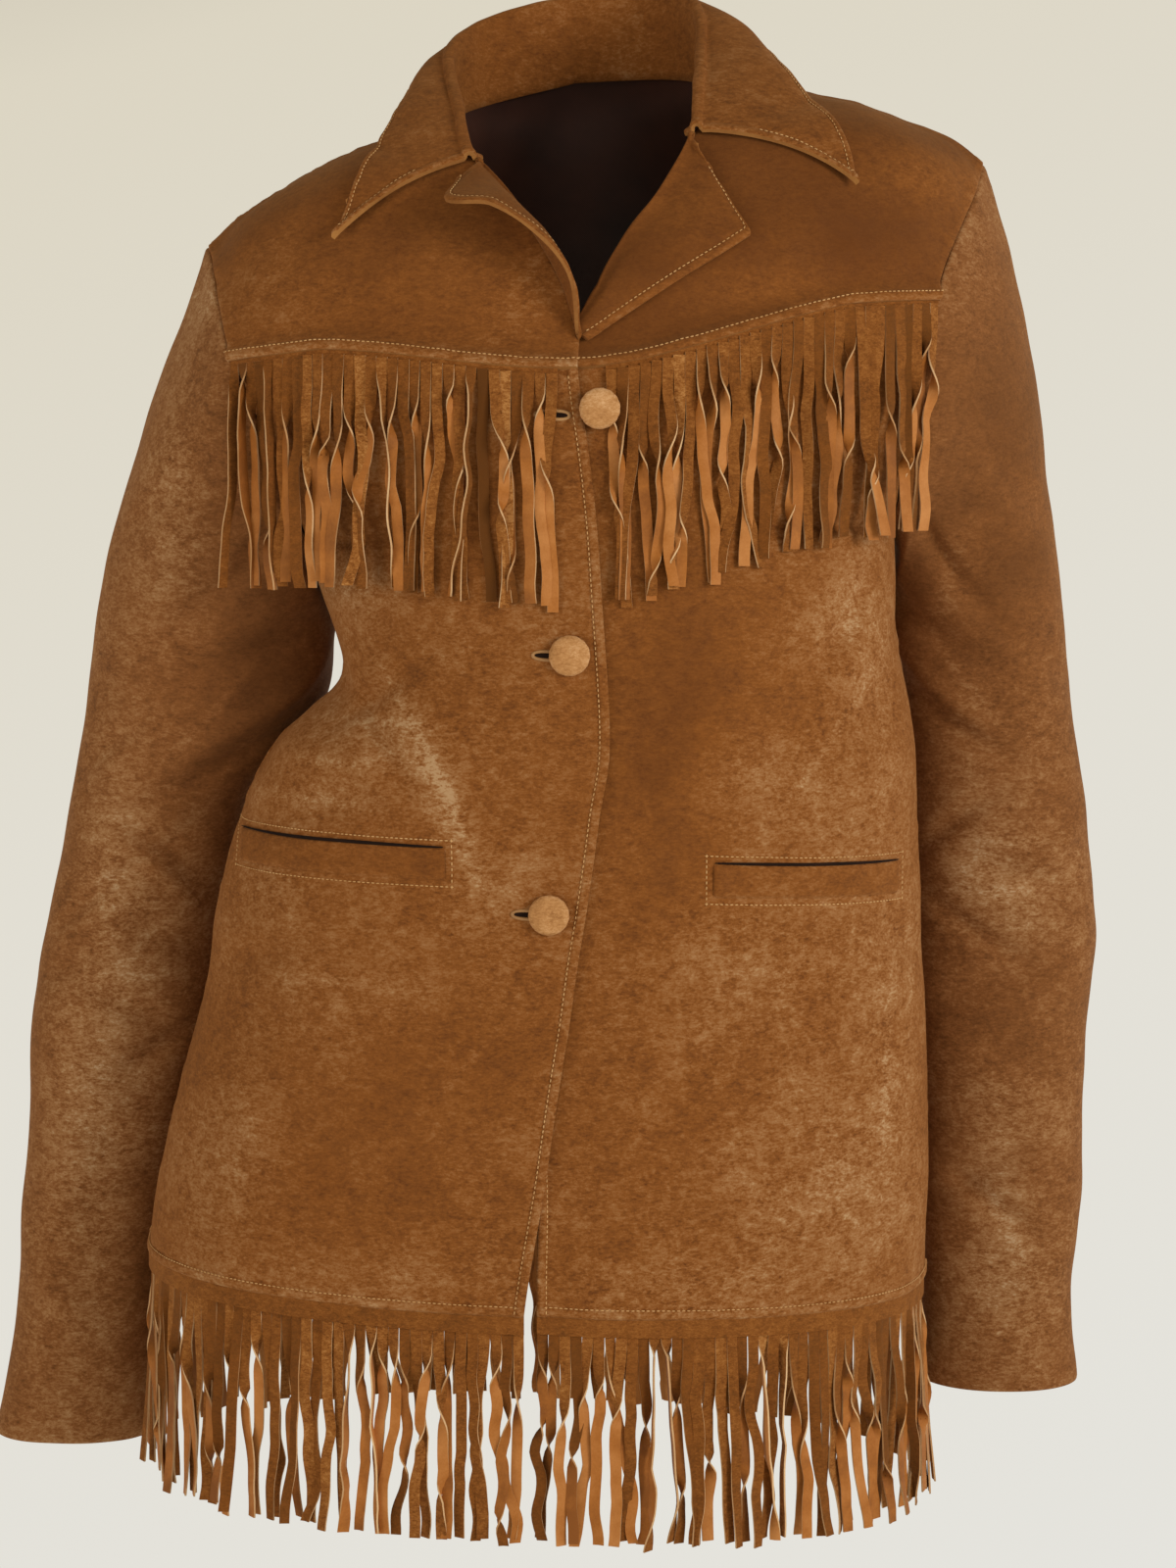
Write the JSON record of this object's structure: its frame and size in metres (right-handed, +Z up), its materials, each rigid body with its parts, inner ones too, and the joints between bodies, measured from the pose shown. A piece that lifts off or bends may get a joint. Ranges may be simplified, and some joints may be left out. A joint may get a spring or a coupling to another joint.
{
  "type": "suede jacket",
  "caption": "Worn western suede jacket, hollow, with notched collar, turned lapels, curved yokes, fringed yokes and hem, welt pockets and covered buttons, held in its worn shape",
  "frame": {"origin": "Between the shoulders at the base of the neck, where the wearer's shoulders hold the jacket up", "axes": "+Z up along the wearer, +X to the wearer's left, the front faces -Y"},
  "size_m": [0.6215, 0.2559, 0.8206],
  "materials": {
    "suede_front_right": "napped suede",
    "suede_front_left": "napped suede",
    "suede_back": "napped suede",
    "suede_yoke_front_right": "napped suede",
    "suede_yoke_front_left": "napped suede",
    "suede_yoke_back": "napped suede",
    "suede_sleeve_right": "napped suede",
    "suede_sleeve_left": "napped suede",
    "suede_collar": "napped suede",
    "suede_lapel_right": "napped suede",
    "suede_lapel_left": "napped suede",
    "suede_welt_right": "napped suede",
    "suede_welt_left": "napped suede",
    "suede_button_top": "napped suede",
    "suede_button_middle": "napped suede",
    "suede_button_lower": "napped suede",
    "fringe_yoke_right": "suede one side, smooth hide the other",
    "fringe_yoke_left": "suede one side, smooth hide the other",
    "fringe_yoke_back": "suede one side, smooth hide the other",
    "fringe_hem_right": "suede one side, smooth hide the other",
    "fringe_hem_left": "suede one side, smooth hide the other",
    "fringe_hem_back": "suede one side, smooth hide the other"
  },
  "bodies": {
    "root": {"front_right": "suede_front_right", "front_left": "suede_front_left", "back_body": "suede_back", "yoke_front_right": "suede_yoke_front_right", "yoke_front_left": "suede_yoke_front_left", "yoke_back": "suede_yoke_back", "sleeve_right": "suede_sleeve_right", "sleeve_left": "suede_sleeve_left", "collar": "suede_collar", "lapel_right": "suede_lapel_right", "lapel_left": "suede_lapel_left", "pocket_welt_right": "suede_welt_right", "pocket_welt_left": "suede_welt_left", "button_top": "suede_button_top", "button_middle": "suede_button_middle", "button_lower": "suede_button_lower", "fringe_yoke_right": "fringe_yoke_right", "fringe_yoke_left": "fringe_yoke_left", "fringe_yoke_back": "fringe_yoke_back", "fringe_hem_right": "fringe_hem_right", "fringe_hem_left": "fringe_hem_left", "fringe_hem_back": "fringe_hem_back"}
  },
  "joints": []
}
